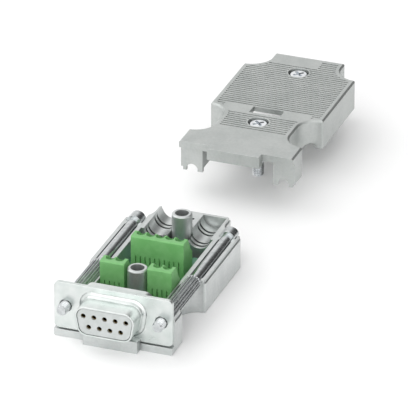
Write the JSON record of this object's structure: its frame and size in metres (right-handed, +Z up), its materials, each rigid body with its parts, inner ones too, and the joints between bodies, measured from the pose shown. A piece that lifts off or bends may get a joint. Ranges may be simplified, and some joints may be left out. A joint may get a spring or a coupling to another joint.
{
  "type": "d-sub bus connector",
  "caption": "Opened bus connector: cast shells with finger notches and cable clamps, fluted jackscrews, d-sub socket face, circuit board and green screw terminals, cover laid behind.",
  "frame": {"origin": "middle of the flange's front face, midway between the two jackscrews", "axes": "+Y from the socket face back towards the cable exits, +Z up out of the open lower shell, +X to the right seen from the socket face"},
  "size_m": [0.033, 0.1446, 0.0153],
  "materials": {
    "cast_base": "satin cast metal, bright plated",
    "cast_cover": "matte cast metal",
    "tinned_sheet": "bright tinned sheet",
    "pale_resin": "matte moulded",
    "gold_contacts": "gold flashed",
    "board_laminate": "solder mask on laminate",
    "green_resin": "satin moulded",
    "tinned_copper": "tin plated",
    "turned_steel": "turned, bright plated",
    "plated_screws": "bright plated"
  },
  "bodies": {
    "housing": {"base_shell": "cast_base", "cover_shell": "cast_cover", "dsub_front_shell": "tinned_sheet", "dsub_rear_shell": "tinned_sheet", "dsub_insulator": "pale_resin", "socket_contacts": "gold_contacts", "circuit_board": "board_laminate", "terminal_block_five": "green_resin", "terminal_block_left": "green_resin", "terminal_block_right": "green_resin", "current_bars_five": "tinned_copper", "current_bars_left": "tinned_copper", "current_bars_right": "tinned_copper"},
    "jackscrew_left": {"jackscrew_left": "turned_steel"},
    "jackscrew_right": {"jackscrew_right": "turned_steel"},
    "cover_screw_front": {"cover_screw_front": "plated_screws"},
    "cover_screw_rear": {"cover_screw_rear": "plated_screws"},
    "clamp_screw_1": {"clamp_screw_1": "plated_screws"},
    "clamp_sleeve_1": {"clamp_sleeve_1": "tinned_copper"},
    "clamp_screw_2": {"clamp_screw_2": "plated_screws"},
    "clamp_sleeve_2": {"clamp_sleeve_2": "tinned_copper"},
    "clamp_screw_3": {"clamp_screw_3": "plated_screws"},
    "clamp_sleeve_3": {"clamp_sleeve_3": "tinned_copper"},
    "clamp_screw_4": {"clamp_screw_4": "plated_screws"},
    "clamp_sleeve_4": {"clamp_sleeve_4": "tinned_copper"},
    "clamp_screw_5": {"clamp_screw_5": "plated_screws"},
    "clamp_sleeve_5": {"clamp_sleeve_5": "tinned_copper"},
    "clamp_screw_6": {"clamp_screw_6": "plated_screws"},
    "clamp_sleeve_6": {"clamp_sleeve_6": "tinned_copper"},
    "clamp_screw_7": {"clamp_screw_7": "plated_screws"},
    "clamp_sleeve_7": {"clamp_sleeve_7": "tinned_copper"},
    "clamp_screw_8": {"clamp_screw_8": "plated_screws"},
    "clamp_sleeve_8": {"clamp_sleeve_8": "tinned_copper"},
    "clamp_screw_9": {"clamp_screw_9": "plated_screws"},
    "clamp_sleeve_9": {"clamp_sleeve_9": "tinned_copper"}
  },
  "joints": [
    {"name": "jackscrew_left_spin", "type": "hinge", "parent": "housing", "child": "jackscrew_left", "pos_m": [-0.01249, 0, 0], "axis": [0, 1, 0], "continuous": true},
    {"name": "jackscrew_right_spin", "type": "hinge", "parent": "housing", "child": "jackscrew_right", "pos_m": [0.01249, 0, 0], "axis": [0, 1, 0], "continuous": true},
    {"name": "cover_screw_front_spin", "type": "hinge", "parent": "housing", "child": "cover_screw_front", "pos_m": [0.002, 0.0982, 0], "axis": [0, 0, 1], "continuous": true},
    {"name": "cover_screw_rear_spin", "type": "hinge", "parent": "housing", "child": "cover_screw_rear", "pos_m": [0.002, 0.1292, 0], "axis": [0, 0, 1], "continuous": true},
    {"name": "clamp_screw_1_turn", "type": "hinge", "parent": "housing", "child": "clamp_screw_1", "pos_m": [-0.00508, 0.0324, 0], "axis": [0, 0, -1], "range_deg": [0, 1090]},
    {"name": "clamp_sleeve_1_rise", "type": "slide", "parent": "housing", "child": "clamp_sleeve_1", "axis": [0, 0, 1], "range_m": [0, 0.0012]},
    {"name": "clamp_screw_2_turn", "type": "hinge", "parent": "housing", "child": "clamp_screw_2", "pos_m": [-0.00254, 0.0324, 0], "axis": [0, 0, -1], "range_deg": [0, 1090]},
    {"name": "clamp_sleeve_2_rise", "type": "slide", "parent": "housing", "child": "clamp_sleeve_2", "axis": [0, 0, 1], "range_m": [0, 0.0012]},
    {"name": "clamp_screw_3_turn", "type": "hinge", "parent": "housing", "child": "clamp_screw_3", "pos_m": [0, 0.0324, 0], "axis": [0, 0, -1], "range_deg": [0, 1090]},
    {"name": "clamp_sleeve_3_rise", "type": "slide", "parent": "housing", "child": "clamp_sleeve_3", "axis": [0, 0, 1], "range_m": [0, 0.0012]},
    {"name": "clamp_screw_4_turn", "type": "hinge", "parent": "housing", "child": "clamp_screw_4", "pos_m": [0.00254, 0.0324, 0], "axis": [0, 0, -1], "range_deg": [0, 1090]},
    {"name": "clamp_sleeve_4_rise", "type": "slide", "parent": "housing", "child": "clamp_sleeve_4", "axis": [0, 0, 1], "range_m": [0, 0.0012]},
    {"name": "clamp_screw_5_turn", "type": "hinge", "parent": "housing", "child": "clamp_screw_5", "pos_m": [0.00508, 0.0324, 0], "axis": [0, 0, -1], "range_deg": [0, 1090]},
    {"name": "clamp_sleeve_5_rise", "type": "slide", "parent": "housing", "child": "clamp_sleeve_5", "axis": [0, 0, 1], "range_m": [0, 0.0012]},
    {"name": "clamp_screw_6_turn", "type": "hinge", "parent": "housing", "child": "clamp_screw_6", "pos_m": [-0.00752, 0.0176, 0], "axis": [0, 0, -1], "range_deg": [0, 1090]},
    {"name": "clamp_sleeve_6_rise", "type": "slide", "parent": "housing", "child": "clamp_sleeve_6", "axis": [0, 0, 1], "range_m": [0, 0.0012]},
    {"name": "clamp_screw_7_turn", "type": "hinge", "parent": "housing", "child": "clamp_screw_7", "pos_m": [-0.00498, 0.0176, 0], "axis": [0, 0, -1], "range_deg": [0, 1090]},
    {"name": "clamp_sleeve_7_rise", "type": "slide", "parent": "housing", "child": "clamp_sleeve_7", "axis": [0, 0, 1], "range_m": [0, 0.0012]},
    {"name": "clamp_screw_8_turn", "type": "hinge", "parent": "housing", "child": "clamp_screw_8", "pos_m": [0.00498, 0.0176, 0], "axis": [0, 0, -1], "range_deg": [0, 1090]},
    {"name": "clamp_sleeve_8_rise", "type": "slide", "parent": "housing", "child": "clamp_sleeve_8", "axis": [0, 0, 1], "range_m": [0, 0.0012]},
    {"name": "clamp_screw_9_turn", "type": "hinge", "parent": "housing", "child": "clamp_screw_9", "pos_m": [0.00752, 0.0176, 0], "axis": [0, 0, -1], "range_deg": [0, 1090]},
    {"name": "clamp_sleeve_9_rise", "type": "slide", "parent": "housing", "child": "clamp_sleeve_9", "axis": [0, 0, 1], "range_m": [0, 0.0012]}
  ],
  "couplings": [
    {"joint": "clamp_screw_1_turn", "follows": "clamp_sleeve_1_rise", "rad_per_m": 15708},
    {"joint": "clamp_screw_2_turn", "follows": "clamp_sleeve_2_rise", "rad_per_m": 15708},
    {"joint": "clamp_screw_3_turn", "follows": "clamp_sleeve_3_rise", "rad_per_m": 15708},
    {"joint": "clamp_screw_4_turn", "follows": "clamp_sleeve_4_rise", "rad_per_m": 15708},
    {"joint": "clamp_screw_5_turn", "follows": "clamp_sleeve_5_rise", "rad_per_m": 15708},
    {"joint": "clamp_screw_6_turn", "follows": "clamp_sleeve_6_rise", "rad_per_m": 15708},
    {"joint": "clamp_screw_7_turn", "follows": "clamp_sleeve_7_rise", "rad_per_m": 15708},
    {"joint": "clamp_screw_8_turn", "follows": "clamp_sleeve_8_rise", "rad_per_m": 15708},
    {"joint": "clamp_screw_9_turn", "follows": "clamp_sleeve_9_rise", "rad_per_m": 15708}
  ]
}
